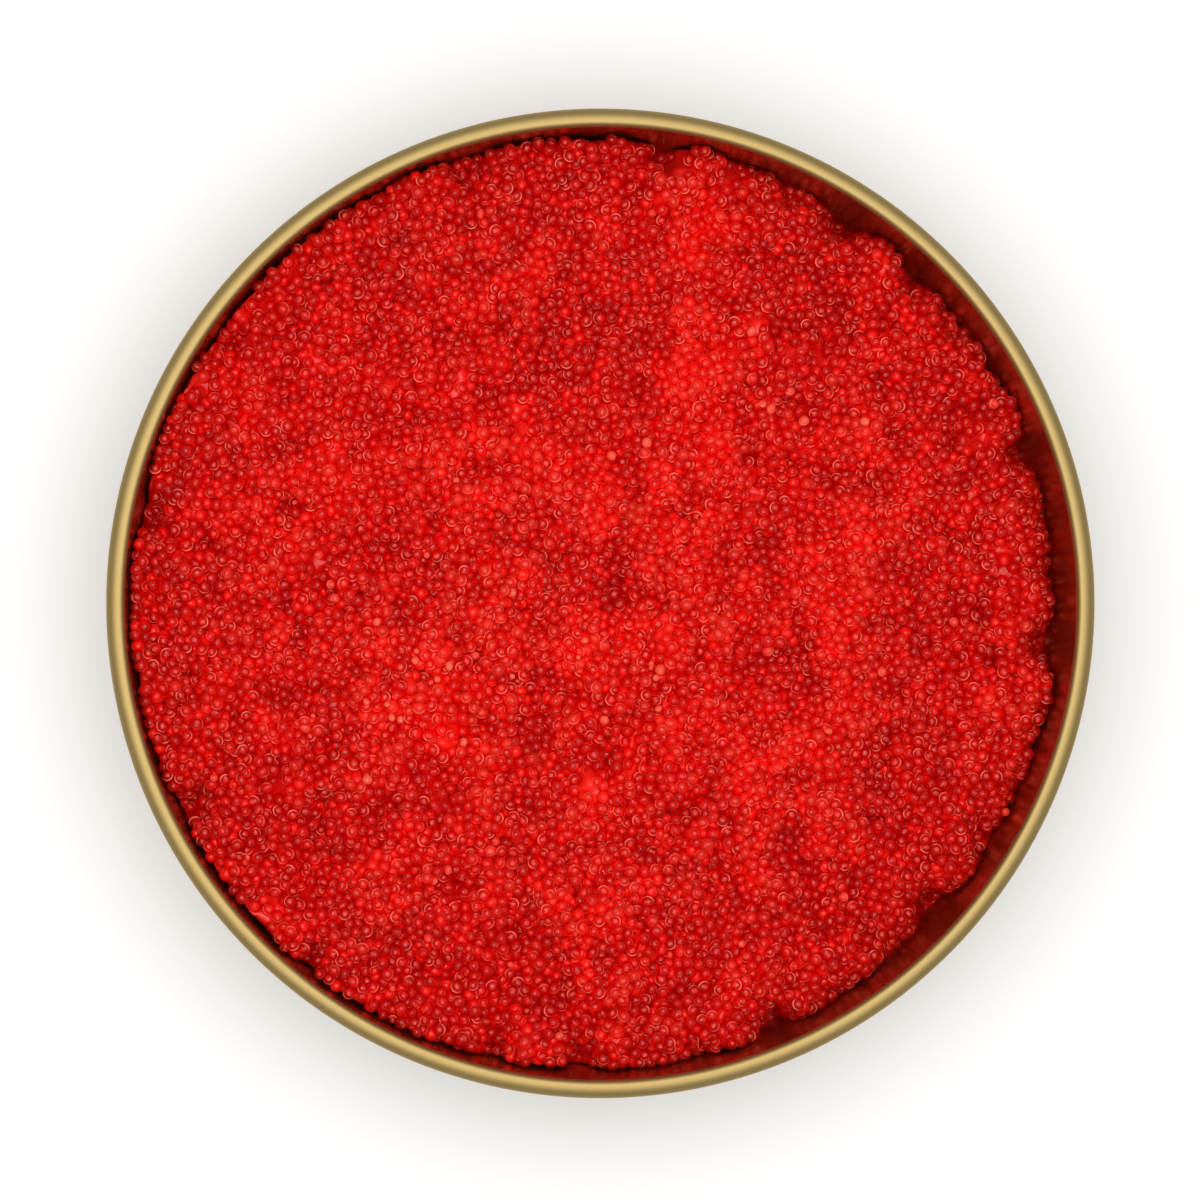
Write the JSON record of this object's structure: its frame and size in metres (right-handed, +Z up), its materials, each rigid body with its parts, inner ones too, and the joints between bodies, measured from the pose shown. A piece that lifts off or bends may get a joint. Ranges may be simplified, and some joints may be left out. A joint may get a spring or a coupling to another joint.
{
  "type": "tin of masago",
  "caption": "Shallow round gold tin with a rolled rim and a pressed base, filled almost to the top with small moist red fish eggs.",
  "frame": {"origin": "centre of the base, on the surface the tin stands on", "axes": "+Z up through the open top; the surface of the roe lies highest at -X and lowest at +X"},
  "size_m": [0.07, 0.07, 0.021],
  "materials": {
    "tin": "satin gold lacquer on tinplate",
    "masago": "moist translucent eggs"
  },
  "bodies": {
    "root": {"tin": "tin", "masago": "masago"}
  },
  "joints": []
}
